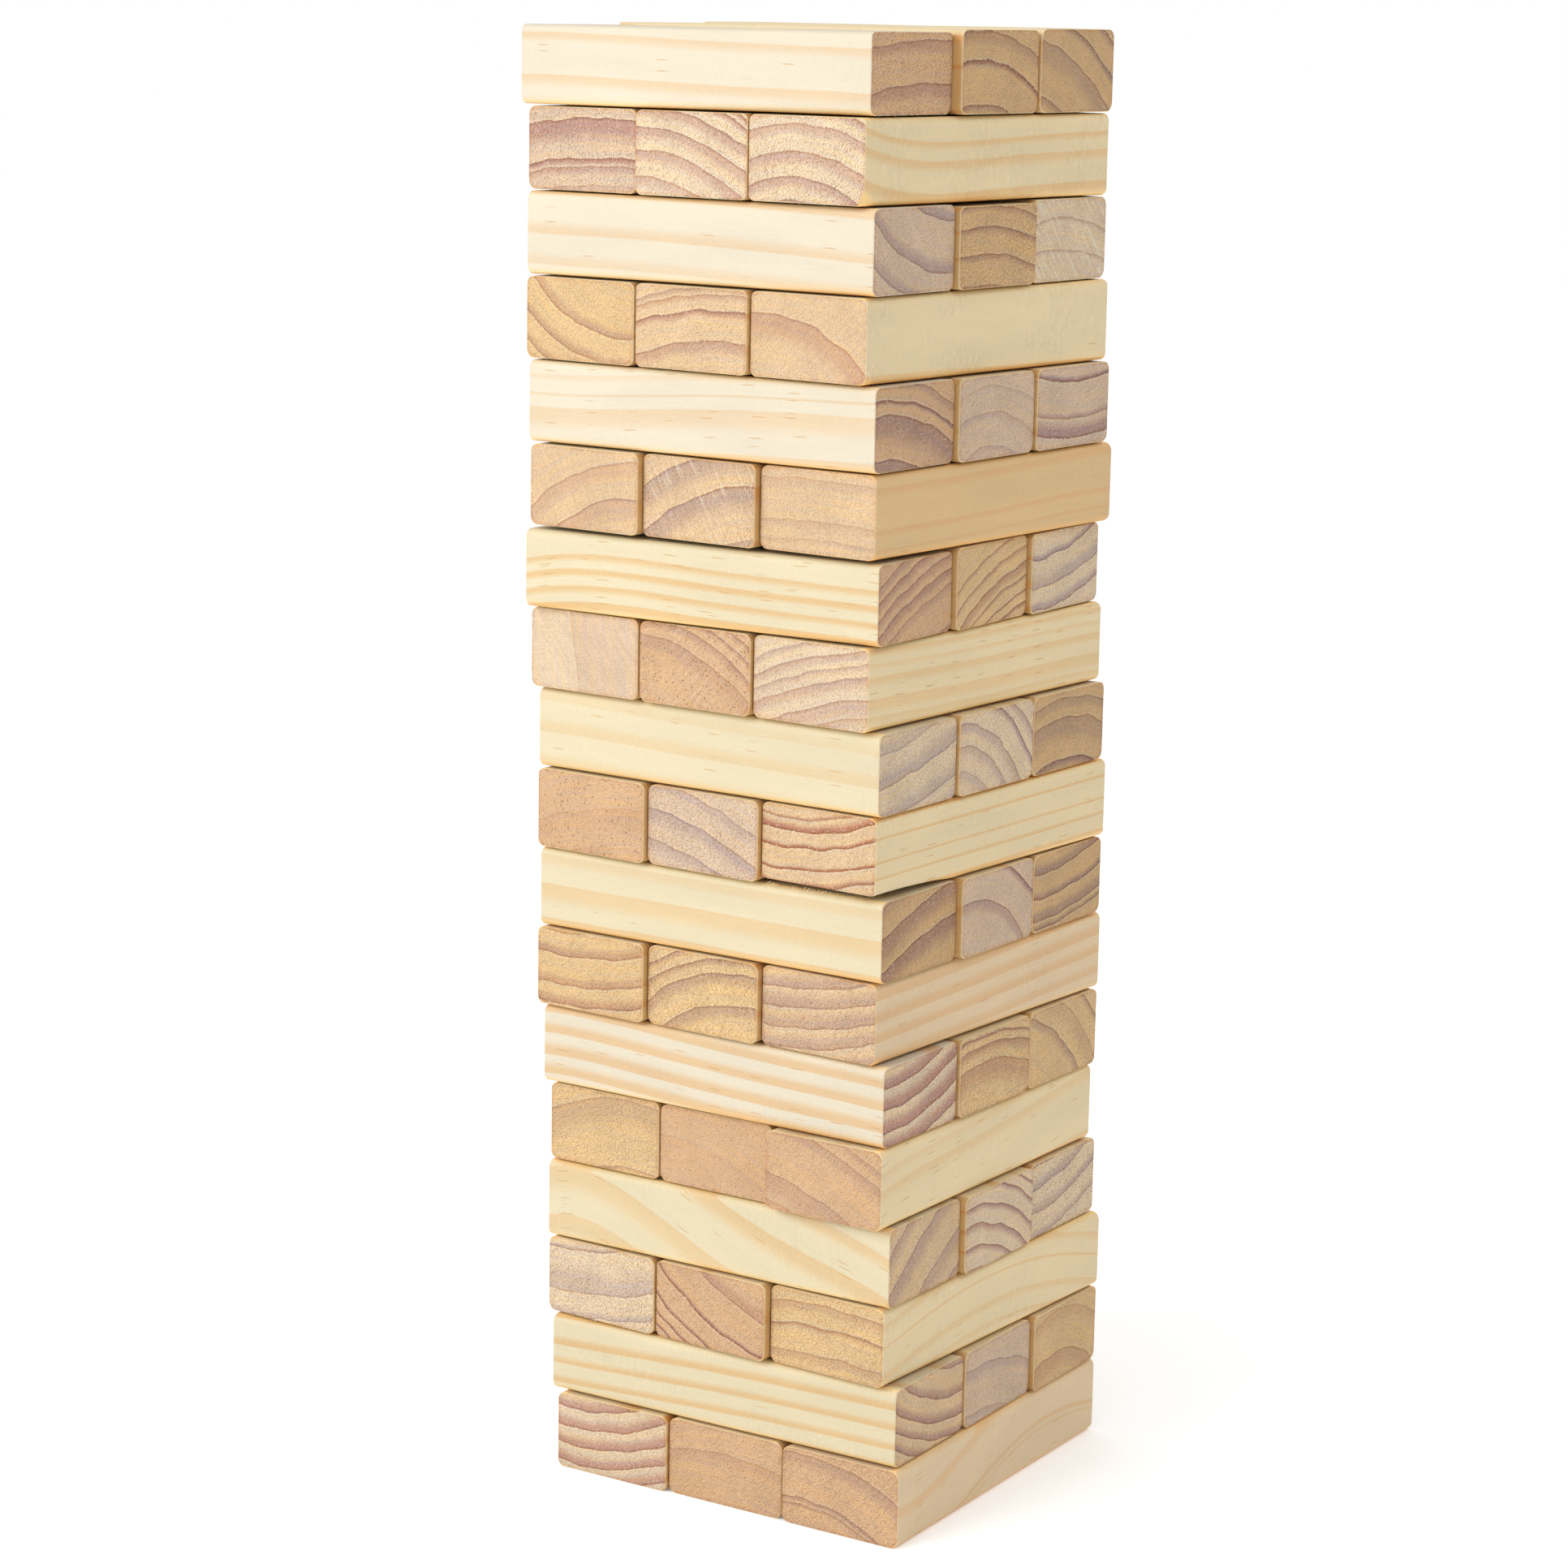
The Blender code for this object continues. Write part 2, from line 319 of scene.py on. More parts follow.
# Late wood against early wood: its share of each linear colour channel at full strength.
# On the ends there is one for grey-mauve late wood and one for red-brown.
HALO_END = (np.array((0.62, 0.63, 0.86)), np.array((0.72, 0.45, 0.45)))
CORE_END = (np.array((0.50, 0.38, 0.42)), np.array((0.48, 0.27, 0.20)))
LATE_SIDE = np.array((0.96, 0.76, 0.55))

# The power to which late wood darkens the blocks whose ends face the front and the right.
RING_CONTRAST = {"front": 1.0, "right": 1.2}

# Colours of the small marks, as 8-bit display colours.
# The cream is the colour of pale beads and of the saw's high marks, and of the painted glints by the bands.
CREAM_AND_GLINT = (196, 190, 172)
RESIN = (176, 132, 74)
CANAL = (106, 68, 48)

# What the painted glow of the arrises and the real amber of chip scars, the painted brown
# shade where blocks touch and the painted shade by the ends of hidden sides do to each
# linear colour channel.
GLOW_AND_SCAR_TINT = (1.5, 1.2, 0.7)
CONTACT_SHADE = (0.8, 0.55, 0.34)
HIDDEN_SHADE = (0.92, 0.66, 0.4)

# Raised grain: how far, in mm, a torn fibre's shadow lies from it, and how strongly it shows
# on the ends that face the front and on those that face the right.
SHADOW_REACH = 0.24
SHADOW_STRENGTH = {"front": 0.55, "right": 1.2}

# How strongly such light and shadow act on each linear colour channel.
RELIEF_TINT = (0.65, 1.0, 1.4)

# Torn fibres per mm across the saw's marks and along them.
TORN_SCALE = (1.7, 1.1)

# What a torn fibre's pale tip with its painted highlight, the painted shade in a hole between
# fibres and a rim's painted glow do to each linear colour channel.
PALE_TIP_AND_HIGHLIGHT = (1.45, 1.5, 1.4)
HOLE_SHADE = (0.66, 0.5, 0.36)
RIM_GLOW = (0.82, 0.56, 0.36)


# ---- block geometry

# Stations along a block, in mm from its sawn ends, and then their pitch between the ends.
STATION_STEPS = (0.0, 0.4, 1.0, 1.8, 3.0, 4.6, 7.0, 10.0)
STATION_PITCH = 5.0

# A section's points: steps round each eased corner, and mm between those on the flats.
ARC_SEGMENTS = 5
SIDE_STEP = 2.0

# Rings of points on a sawn end, in mm in from its rim.
CAP_INSETS = (0.4, 1.0, 1.8, 2.8, 4.2, 6.0, 8.0, 10.0, 12.5, 15.0)

# Wear, in mm: of the sawn ends' rims, the range of the long edges' radius, half the most that
# a face is worn in, and the shortest wave of that along the block.
END_EASE = 0.3
EDGE_RADIUS = (3.2, 4.2)
FACE_WEAR = 0.12
WEAR_WAVE = 60.0

# The seeds: a block's own is this for each level, plus its place. Its fibres start from the
# second.
SEED_PER_LEVEL = 100
FIBRE_SEED = 5000


class Block:
    """The place, axes and size of one CAD block, and its place in the tower."""

    def __init__(self, level, place, node):
        self.level = level
        self.place = place
        self.node = node
        self.even = level % 2 == 0
        self.wood = WOOD[level][place]
        self.rng = np.random.default_rng(SEED_PER_LEVEL * level + place)
        lowest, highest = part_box(node)
        self.centre = (lowest + highest) / 2
        corners = {
            tuple(round(value, 5) for value in vertex.co)
            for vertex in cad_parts[node].data.vertices
        }
        flat = np.array(sorted(corners)) - np.array(self.centre)
        spread = flat[:, :2].T @ flat[:, :2]
        along = np.linalg.eigh(spread)[1][:, -1]
        if along[0 if self.even else 1] < 0:
            along = -along
        self.along = Vector((along[0], along[1], 0.0)).normalized()
        self.across = Vector((-self.along.y, self.along.x, 0.0))
        axes = np.array((self.along, self.across, (0, 0, 1)))
        self.half = np.abs(flat @ axes.T).max(axis=0) / MM
        free = cad_box[1][0] - highest.x if self.even else lowest.y - cad_box[0][1]
        self.room = max(0.0, free / MM - BOX_MARGIN)
        self.matrix = placed(self.centre, self.along, self.across, (0, 0, 1))

    def seen(self, across):
        """Distance to the right on the end that faces the front or the right."""
        return across if self.even else -across


def smooth_noise(rng, count, points, shortest):
    """A smooth random curve between -1 and 1, as a sum of waves no shorter than given."""
    total = np.zeros(len(points))
    weight = 0.0
    for _ in range(count):
        length = shortest * rng.uniform(1.0, 4.0)
        total += length * np.sin(2 * math.pi * points / length + rng.uniform(0, 2 * math.pi))
        weight += length
    return total / weight


def stations(half_length):
    """Places along a block, close together by its sawn ends."""
    steps = np.array(STATION_STEPS)
    inner = half_length - steps[-1]
    middle = np.linspace(-inner, inner, 2 + int(2 * inner / STATION_PITCH))
    return np.concatenate([-half_length + steps[:-1], middle, half_length - steps[-2::-1]])


def outline(half_width, half_height, radius):
    """Points round a section with eased corners, anticlockwise from the right side."""
    points = []
    for quarter in range(4):
        start = quarter * math.pi / 2
        turn = np.array([[math.cos(start), -math.sin(start)], [math.sin(start), math.cos(start)]])
        width, height = (half_width, half_height)[:: 1 if quarter % 2 == 0 else -1]
        side = height - radius
        for place in np.linspace(0, side, max(2, round(side / SIDE_STEP)))[:-1]:
            points.append(turn @ (width, place))
        for angle in np.linspace(0, math.pi / 2, ARC_SEGMENTS + 1):
            arc = (math.cos(angle) * radius, math.sin(angle) * radius)
            points.append(turn @ (width - radius + arc[0], side + arc[1]))
        top = width - radius
        for place in np.linspace(top, 0, max(2, round(top / SIDE_STEP)))[1:-1]:
            points.append(turn @ (place, height))
    return np.array(points)


def hollow_depth(block, along):
    """How far the underside is scooped out at each place along the block, in mm."""
    start, end, depth = block.wood.hollow
    if depth == 0:
        return np.zeros(len(along))
    share = np.clip((along - start) / (end - start), 0, 1)
    frayed = smooth_noise(np.random.default_rng(block.level), 5, along, 7.0)
    return depth * np.sin(math.pi * share) ** 0.7 * (0.85 + 0.15 * frayed)


def break_corner(block, place, points):
    """Push the points of one station in to the plane of the chip, if there is one."""
    long, high, deep = block.wood.chip
    if long == 0:
        return points
    from_end = (block.half[0] + place) / long
    from_base = (block.half[2] + points[:, 2]) / high
    room = deep * (1 - from_end - from_base)
    limit = block.half[1] - np.maximum(room, 0)
    points[:, 1] = np.where(-points[:, 1] > limit, -limit, points[:, 1])
    return points


# A torn fibre: its sides, in mm its radius, its length, and how deep its root and its tip lie
# from the edge, and how far it may lean along the edge for each mm of length.
FIBRE_SIDES = 3
FIBRE_THICKNESS = (0.14, 0.26)
FIBRE_LENGTH = (0.8, 2.6)
ROOT_DEPTH = (0.5, 1.3)
TIP_DEPTH = (-0.2, 0.3)
FIBRE_LEAN = 0.8

# How far its tip reaches out past the end and its middle bulges, for each mm of length.
TIP_REACH = 0.45
MIDDLE_BULGE = 0.12

# How far inside the whole tower's box the tips of fibres stay, where there is room, and how
# far from the end's rim the fibres count as being for its painted rim glow. Both are in mm.
BOX_MARGIN = 0.3
FIBRE_RIM = 3.0


def fibre_faces(base, flipped):
    """Faces of one fibre, whose points are numbered from base on: its foot and its sides."""
    tip = base + 2 * FIBRE_SIDES
    faces = []
    for corner in range(FIBRE_SIDES):
        here, after = base + corner, base + (corner + 1) % FIBRE_SIDES
        faces.append((here, after, after + FIBRE_SIDES, here + FIBRE_SIDES))
        faces.append((here + FIBRE_SIDES, after + FIBRE_SIDES, tip))
    faces.append(tuple(base + corner for corner in reversed(range(FIBRE_SIDES))))
    return [face[::-1] for face in faces] if flipped else faces


def fibre_mesh(block, first):
    """The torn fibres of the block's edges: points, and faces numbered from first on."""
    rng = np.random.default_rng(FIBRE_SEED + 10 * block.level + block.place)
    outward = 1 if block.even else -1
    points, faces = [], []
    for edge, start, end, count in block.wood.fringe:
        height = block.half[2] - (block.wood.thin if edge > 0 else 0.0)
        for _ in range(count):
            root_depth, tip_depth = rng.uniform(*ROOT_DEPTH), rng.uniform(*TIP_DEPTH)
            place = block.seen(rng.uniform(start, end))
            length = rng.uniform(*FIBRE_LENGTH)
            lean = rng.uniform(-FIBRE_LEAN, FIBRE_LEAN)
            thick = rng.uniform(*FIBRE_THICKNESS)
            reach = min(TIP_REACH * length, block.room)
            bulge = min(MIDDLE_BULGE * length, block.room / 2)
            root = np.array([outward * (block.half[0] - 0.4), place, edge * (height - root_depth)])
            tip = np.array([outward * (block.half[0] + reach), place + lean * length,
                            edge * (height - tip_depth)])
            middle = (root + tip) / 2 + (outward * bulge, 0, 0)
            base = first + len(points)
            for centre, radius in ((root, thick), (middle, 0.8 * thick)):
                for corner in range(FIBRE_SIDES):
                    angle = 2 * math.pi * corner / FIBRE_SIDES + lean
                    spoke = np.array([0, math.cos(angle), math.sin(angle)])
                    points.append(centre + radius * spoke)
            points.append(tip)
            faces += fibre_faces(base, outward < 0)
    return points, faces


def worn_section(block, section, place, bow, hollow):
    """The section at one place along the block, with its faces worn in.

    bow holds the wear, between -1 and 1, of the right, top, left and bottom faces.
    """
    length, width, height = block.half
    ring = section.copy()
    from_end = length - abs(place)
    inset = END_EASE * max(0.0, 1 - from_end / STATION_STEPS[1])
    ring -= np.sign(ring) * np.minimum(inset, np.abs(ring))
    lowered = (0.0, block.wood.thin, 0.0, hollow)
    for side, wear in enumerate(bow):
        axis = side % 2
        sign = 1 if side < 2 else -1
        depth = FACE_WEAR * (1 + wear) + lowered[side]
        facing = np.clip(sign * ring[:, axis] / (width, height)[axis], 0, 1)
        ring[:, axis] -= sign * depth * np.clip(4 * facing - 3, 0, 1)
    placed = np.column_stack([np.full(len(section), place), ring])
    return break_corner(block, place, placed)


def side_faces(rows, count):
    """Faces between the sections, which follow each other along the block."""
    faces = []
    for row in range(rows - 1):
        for column in range(count):
            here, after = row * count + column, row * count + (column + 1) % count
            faces.append((here, here + count, after + count, after))
    return faces


def close_end(block, edge, first, total, far_end):
    """Rings of points that close one end, from its edge in: points, rims and faces."""
    count = len(edge)
    points, rims, faces = [], [], []
    previous = [first + column for column in range(count)]
    for inset in CAP_INSETS:
        ring = edge.copy()
        ring[:, 1] *= 1 - inset / block.half[1]
        ring[:, 2] *= 1 - inset / block.half[2]
        points.append(ring)
        rims.append(np.full(count, inset))
        current = [total + column for column in range(count)]
        total += count
        for column in range(count):
            after = (column + 1) % count
            faces.append((previous[column], current[column], current[after], previous[after]))
        previous = current
    points.append(np.array([[edge[0, 0], 0.0, 0.0]]))
    rims.append(np.array([block.half[2]]))
    for column in range(count):
        faces.append((previous[column], total, previous[(column + 1) % count]))
    return points, rims, faces if far_end else [face[::-1] for face in faces]


def block_mesh(block):
    """The block as (points in mm, faces, which faces are sawn ends, distance from the rim)."""
    length, width, height = block.half
    radius = block.rng.uniform(*EDGE_RADIUS)
    section = outline(width, height, radius)
    along = stations(length)
    count = len(section)
    bow = [smooth_noise(block.rng, 4, along, WEAR_WAVE) for _ in range(4)]
    hollow = hollow_depth(block, along)
    points = [
        worn_section(block, section, place, [wave[number] for wave in bow], hollow[number])
        for number, place in enumerate(along)
    ]
    faces = side_faces(len(along), count)
    ends = [False] * len(faces)
    rims = [np.zeros(count) for _ in along]
    total = len(along) * count
    for far_end, row in ((False, 0), (True, len(along) - 1)):
        cap, cap_rims, cap_faces = close_end(block, points[row], row * count, total, far_end)
        points += cap
        rims += cap_rims
        faces += cap_faces
        total += sum(len(ring) for ring in cap)
    fibres, faces_of_fibres = fibre_mesh(block, total)
    if fibres:
        points.append(np.array(fibres))
        faces += faces_of_fibres
        rims.append(np.full(len(fibres), FIBRE_RIM))
    ends += [True] * (len(faces) - len(ends))
    return np.vstack(points), faces, ends, np.concatenate(rims)


# Where the painted glow and shade of the arrises lie, in mm from the face above or below and from the side.
FACE_REACH = 4.0
SIDE_REACH = 5.5
SIDE_FADE = 2.5

# The painted glow's strength on the upper arrises against the lower ones, and how it falls off.
UPPER_GLOW = 0.35
GLOW_FALL = 1.3

# The painted shade on a hidden side, in mm from the end, and how far in from its face it ends.
HIDDEN_SHADE_REACH = 18.0
HIDDEN_SHADE_FADE = 15.0
HIDDEN_DEPTH = 4.5
HIDDEN_FADE = 3.0


def glow_shade_and_scar(block, points):
    """How much painted glow and shade each point has, along the arrises.

    1 is the full painted amber glow, which a chip's scar also takes as its own amber. From there
    to 2 it deepens to a painted brown shade, where two blocks touch. Below 0 it is instead how
    much painted shade the point has, down to -1 by the ends of hidden sides.
    """
    length, width, height = block.half
    from_side = width - np.abs(points[:, 1])
    from_face = height - np.abs(points[:, 2])
    # Painted glow: a warmer, lighter tint on the arrises, fullest on the lower ones.
    glow_and_shade = np.clip((FACE_REACH - from_face) / FACE_REACH, 0, 1) ** GLOW_FALL
    glow_and_shade *= np.where(points[:, 2] > 0, UPPER_GLOW, 1.0)
    # Painted shade: deeper brown within 1 mm of the top and bottom faces, where blocks touch.
    glow_and_shade += np.clip(1.0 - from_face, 0, 1)
    glow_and_shade *= np.clip((SIDE_REACH - from_side) / SIDE_FADE, 0, 1)
    # Painted shade on hidden sides, by the ends, in place of their glow.
    from_end = length - np.abs(points[:, 0])
    near_end = np.clip((HIDDEN_SHADE_REACH - from_end) / HIDDEN_SHADE_FADE, 0, 1)
    near_end *= np.clip(from_end / 1.5, 0.3, 1)
    for sign, outermost in ((-1, block.place == 0), (1, block.place == 2)):
        if not outermost:
            hidden = (sign * points[:, 1] - width + HIDDEN_DEPTH) / HIDDEN_FADE
            hidden = np.clip(hidden, 0, 1)
            glow_and_shade = glow_and_shade * (1 - hidden) - hidden * near_end
    if block.level == len(WOOD):
        glow_and_shade *= np.clip((height - 1.0 - points[:, 2]) / 3.0, 0, 1)
    scar = chipped(block, points)
    return np.where(scar > 0, np.maximum(glow_and_shade, scar), glow_and_shade)


def chipped(block, points):
    """How amber the scar of a chipped corner is, and 0 elsewhere."""
    long, high, _ = block.wood.chip
    if long == 0:
        return np.zeros(len(points))
    from_end = (block.half[0] + points[:, 0]) / long
    from_base = (block.half[2] + points[:, 2]) / high
    facing = points[:, 1] < 4.0 - block.half[1]
    return np.where(facing, 0.6 * np.clip(8 * (1 - from_end - from_base), 0, 1), 0)


# ---- growth rings


def drift_at(wood, along, half_length):
    """How far the rings have climbed at each place along the block, in mm."""
    places = np.linspace(-half_length, half_length, len(wood.drift))
    curve = np.polyfit(places, wood.drift, len(wood.drift) - 1)
    return np.polyval(curve, along)


def ring_field(block, points):
    """Distance along the growth direction and round the pith, in mm, at each point."""
    wood = block.wood
    turn = math.radians(wood.growth)
    grow = np.array([math.cos(turn), math.sin(turn)])
    x = block.seen(points[:, 1])
    z = points[:, 2] - drift_at(wood, points[:, 0], block.half[0])
    outward = x * grow[0] + z * grow[1] + wood.radius
    sideways = z * grow[0] - x * grow[1]
    ring = np.hypot(outward, sideways) - wood.radius
    arc = np.arctan2(sideways, np.maximum(outward, 1.0)) * wood.radius
    return ring, arc


# ---- materials


class Graph:
    """A material's node tree, with short calls for its common nodes."""

    def __init__(self, name):
        self.material = bpy.data.materials.new(name)
        self.material.use_nodes = True
        self.tree = self.material.node_tree
        self.shader = self.tree.nodes["Principled BSDF"]

    def node(self, kind, inputs=(), **settings):
        made = self.tree.nodes.new(kind)
        for key, value in settings.items():
            setattr(made, key, value)
        for key, value in dict(inputs).items():
            self.feed(made.inputs[key], value)
        return made

    def feed(self, socket, value):
        if isinstance(value, bpy.types.NodeSocket):
            self.tree.links.new(value, socket)
        elif isinstance(value, (tuple, list)) and len(value) == 3 and socket.type == "RGBA":
            socket.default_value = (*value, 1.0)
        else:
            socket.default_value = value

    def math(self, operation, first, second=0.0, clamp=False):
        inputs = {0: first, 1: second}
        return self.node("ShaderNodeMath", inputs, operation=operation, use_clamp=clamp).outputs[0]

    def plus(self, first, second):
        return self.math("ADD", first, second)

    def total(self, *parts):
        """The sum of the values, each times its weight."""
        return reduce(self.plus, [self.times(value, weight) for value, weight in parts])

    def minus(self, first, second):
        return self.math("SUBTRACT", first, second)

    def times(self, first, second, clamp=False):
        return self.math("MULTIPLY", first, second, clamp)

    def vector(self, operation, first, second=(0, 0, 0)):
        inputs = {0: first, 1: second}
        return self.node("ShaderNodeVectorMath", inputs, operation=operation).outputs[0]

    def vector_ramp(self, vector, low, high):
        """Each part of a vector, from 0 at low to 1 at high, smoothly."""
        made = self.node("ShaderNodeMapRange", data_type="FLOAT_VECTOR")
        made.interpolation_type = "SMOOTHSTEP"
        for name, value in (("Vector", vector), ("From_Min_FLOAT3", (low,) * 3),
                            ("From_Max_FLOAT3", (high,) * 3)):
            self.feed(next(s for s in made.inputs if s.identifier == name), value)
        return made.outputs["Vector"]

    def combine(self, x, y, z):
        return self.node("ShaderNodeCombineXYZ", {0: x, 1: y, 2: z}).outputs[0]

    def separate(self, vector):
        made = self.node("ShaderNodeSeparateXYZ", {0: vector})
        return made.outputs[0], made.outputs[1], made.outputs[2]

    def ramp(self, value, low, high, to_low=0.0, to_high=1.0):
        limits = {"From Min": low, "From Max": high, "To Min": to_low, "To Max": to_high}
        return self.node("ShaderNodeMapRange", {"Value": value, **limits}).outputs[0]

    def noise(self, vector, scale=1.0, detail=2.0, roughness=0.5):
        inputs = {"Vector": vector, "Scale": scale, "Detail": detail, "Roughness": roughness}
        return self.node("ShaderNodeTexNoise", inputs).outputs["Fac"]

    def dots(self, vector, scale):
        return self.node("ShaderNodeTexVoronoi", {"Vector": vector, "Scale": scale}).outputs[0]

    def grains(self, vector):
        """Round grains of many sizes, high in their middles."""
        cells = self.minus(1.0, self.dots(vector, 1.0))
        return self.times(self.plus(cells, self.noise(vector)), 0.5)

    def streaks(self, grain, waves, detail=2.0, roughness=0.5):
        """Noise with so many waves for each mm along the grain and across it."""
        along, across = waves
        place = self.vector("MULTIPLY", grain, (along, across, across))
        return self.noise(place, 1.0, detail, roughness)

    def mix(self, share, first, second, kind="MIX"):
        made = self.node("ShaderNodeMix", data_type="RGBA", blend_type=kind)
        self.feed(made.inputs[0], share)
        self.feed(made.inputs[6], first)
        self.feed(made.inputs[7], second)
        return made.outputs[2]

    def scaled(self, colour, factor):
        return self.vector("MULTIPLY", colour, self.combine(factor, factor, factor))

    def tinted(self, share, colour, tint):
        """The colour, with a tint on its linear channels for so large a share."""
        return self.mix(share, colour, self.vector("MULTIPLY", colour, tint))

    def mesh(self, name, output="Fac"):
        """A value that the mesh carries at each point."""
        return self.node("ShaderNodeAttribute", attribute_name=name).outputs[output]

    def own(self, name):
        """A vector that the block itself carries."""
        made = self.node("ShaderNodeAttribute", attribute_type="OBJECT", attribute_name=name)
        return made.outputs["Vector"]

    def finish(self, colour, roughness, specular, height, distance):
        """Join the values to the shader, the height as a bump of so many mm."""
        self.feed(self.shader.inputs["Base Color"], colour)
        self.feed(self.shader.inputs["Roughness"], roughness)
        self.feed(self.shader.inputs["Specular IOR Level"], specular)
        bump = self.node(
            "ShaderNodeBump", {"Height": height, "Distance": distance * MM, "Strength": 1.0}
        )
        self.feed(self.shader.inputs["Normal"], bump.outputs[0])
        return self.material


def strongest(graph, most, shares, strength):
    """The largest of the most so far and three bands' shares, each times its strength."""
    for value in graph.separate(graph.vector("MULTIPLY", shares, strength)):
        most = graph.math("MAXIMUM", most, value)
    return most


def late_wood(graph, ring, edge_width, core_width, reach):
    """The late wood at a place on the ring scale, from the block's bands, three at a time.

    Each band starts at a sharp edge and fades towards the pith: a wide pale halo, and a
    narrow dark core against the edge. Returns the strength of both.
    """
    halo, core = 0.0, 0.0
    for group in range(BAND_GROUPS):
        inside = graph.vector("SUBTRACT", graph.own(f"band_places_{group}"), ring)
        strength = graph.own(f"band_strengths_{group}")
        edge = graph.vector_ramp(inside, 0.0, edge_width)
        share = graph.vector("DIVIDE", inside, graph.own(f"band_widths_{group}"))
        fade = graph.vector("MULTIPLY", edge, graph.vector_ramp(share, reach, 0.5))
        dark = graph.vector("MULTIPLY", edge, graph.vector_ramp(inside, core_width, 0.2))
        halo = strongest(graph, halo, fade, strength)
        core = strongest(graph, core, dark, strength)
    return halo, core


def ring_edge_glints(graph, ring):
    """The strength of the painted glint just outside each band's edge."""
    glint = 0.0
    for group in range(BAND_GROUPS):
        inside = graph.vector("SUBTRACT", graph.own(f"band_places_{group}"), ring)
        outside = graph.vector_ramp(inside, -1.0, -0.1)
        outside = graph.vector("SUBTRACT", outside, graph.vector_ramp(inside, -0.3, 0.1))
        glint = strongest(graph, glint, outside, graph.own(f"band_strengths_{group}"))
    return glint


# Patterns on the planed sides: how many waves they have for each mm, along the grain and
# across it.
WANDER = (0.02, 0.5)
FIBRES = (0.05, 2.2)
HAIRS = (0.22, 6.0)
CLOUDS = (0.012, 0.06)
CHATTER = (0.7, 0.28)
CHATTER_PATCHES = (0.03, 0.05)

# The same for the nap and for the cells of the resin dashes, and the step, in the nap's own
# waves, from a place to the one that shades it.
NAP_SCALE = (1.1, 0.9, 0.9)
DASH_SCALE = (0.045, 0.9, 0.9)
NAP_SHADOW = (0.3, 0.2, -0.3)


def side_tones(graph, grain, fibres, banding):
    """Early and late wood on a planed side, and how far each place is late wood."""
    wander = graph.minus(graph.streaks(grain, WANDER, 3.0), 0.5)
    ring = graph.plus(graph.mesh("ring"), graph.times(wander, 0.9))
    ring = graph.plus(ring, graph.times(fibres, 0.5))
    halo, core = late_wood(graph, ring, 1.1, 1.8, 1.4)
    late = graph.times(graph.total((halo, 1.25), (core, 0.4)), banding, clamp=True)
    return graph.mix(late, graph.own("early_side"), graph.own("late_side")), late


def with_glow_shade_and_scar(graph, colour):
    """The colour with painted arris glow, amber chip scars, and painted shade at contacts and hidden ends.
    """
    glow_shade_scar = graph.mesh("glow_shade_scar")
    # Painted glow on the arrises, and the real amber of chip scars.
    colour = graph.tinted(graph.math("MINIMUM", glow_shade_scar, 1.0), colour, GLOW_AND_SCAR_TINT)
    # Painted brown shade where two blocks touch.
    colour = graph.tinted(graph.ramp(glow_shade_scar, 1.0, 1.8), colour, CONTACT_SHADE)
    # Painted shade by the ends of hidden sides.
    return graph.tinted(graph.ramp(glow_shade_scar, 0.0, -1.0), colour, HIDDEN_SHADE)


def napped(graph, colour, grain, fibres):
    """The colour with clouds, fibres and a nap lit from one side, and the nap's height."""
    shade = graph.ramp(graph.streaks(grain, CLOUDS), 0.3, 0.7, 0.955, 1.03)
    shade = graph.times(shade, graph.ramp(fibres, 0.3, 0.7, 0.97, 1.02))
    place = graph.vector("MULTIPLY", grain, NAP_SCALE)
    nap = graph.noise(place, 1.0, 2.0, 0.6)
    beyond = graph.noise(graph.vector("ADD", place, NAP_SHADOW), 1.0, 2.0, 0.6)
    relief = graph.minus(nap, beyond)
    shade = graph.times(shade, graph.ramp(relief, -0.2, 0.2, 0.97, 1.025))
    return graph.scaled(colour, shade), nap


def resin_dashes(graph, grain, flecks):
    """Where resin dashes show: in so large a share of the cells that can have one."""
    place = graph.vector("MULTIPLY", grain, DASH_SCALE)
    cells = graph.node("ShaderNodeTexVoronoi", {"Vector": place, "Scale": 1.0})
    chance, _, _ = graph.separate(cells.outputs["Color"])
    dashes = graph.ramp(cells.outputs["Distance"], 0.21, 0.13)
    return graph.times(dashes, graph.ramp(graph.minus(flecks, chance), 0.0, 0.02))


def planer_chatter(graph, grain, strength):
    """The planer's faint ripples, in patches, as a share of the brightness."""
    ripples = graph.ramp(graph.streaks(grain, CHATTER), 0.35, 0.65, -0.035, 0.035)
    patches = graph.ramp(graph.streaks(grain, CHATTER_PATCHES), 0.45, 0.6, 0.15, 1.0)
    return graph.times(ripples, graph.times(patches, strength))


def side_material():
    """Planed pine: honey bands, fine fibres, resin dashes and faint planer ripples."""
    graph = Graph("planed_pine")
    grain = graph.mesh("grain", "Vector")
    flecks, ripples, banding = graph.separate(graph.own("marks_side"))
    fibres = graph.streaks(grain, FIBRES, 3.0, 0.6)
    colour, late = side_tones(graph, grain, fibres, banding)
    colour, nap = napped(graph, with_glow_shade_and_scar(graph, colour), grain, fibres)
    dashes = resin_dashes(graph, grain, flecks)
    colour = graph.mix(graph.times(dashes, 0.8), colour, tuple(linear(RESIN)))
    chatter = planer_chatter(graph, grain, ripples)
    colour = graph.scaled(colour, graph.plus(chatter, 1.0))
    hairs = graph.streaks(grain, HAIRS)
    height = graph.total((fibres, 0.05), (hairs, 0.03), (nap, 0.04), (chatter, 3.0))
    height = graph.minus(height, graph.times(dashes, 0.06))
    return graph.finish(colour, graph.ramp(late, 0.0, 1.0, 0.62, 0.5), 0.35, height, 1.0)


# Tints of an end's thin layers, towards blue and towards yellow.
COOL_LAYER = (0.92, 0.94, 1.06)
WARM_LAYER = (1.07, 1.01, 0.90)


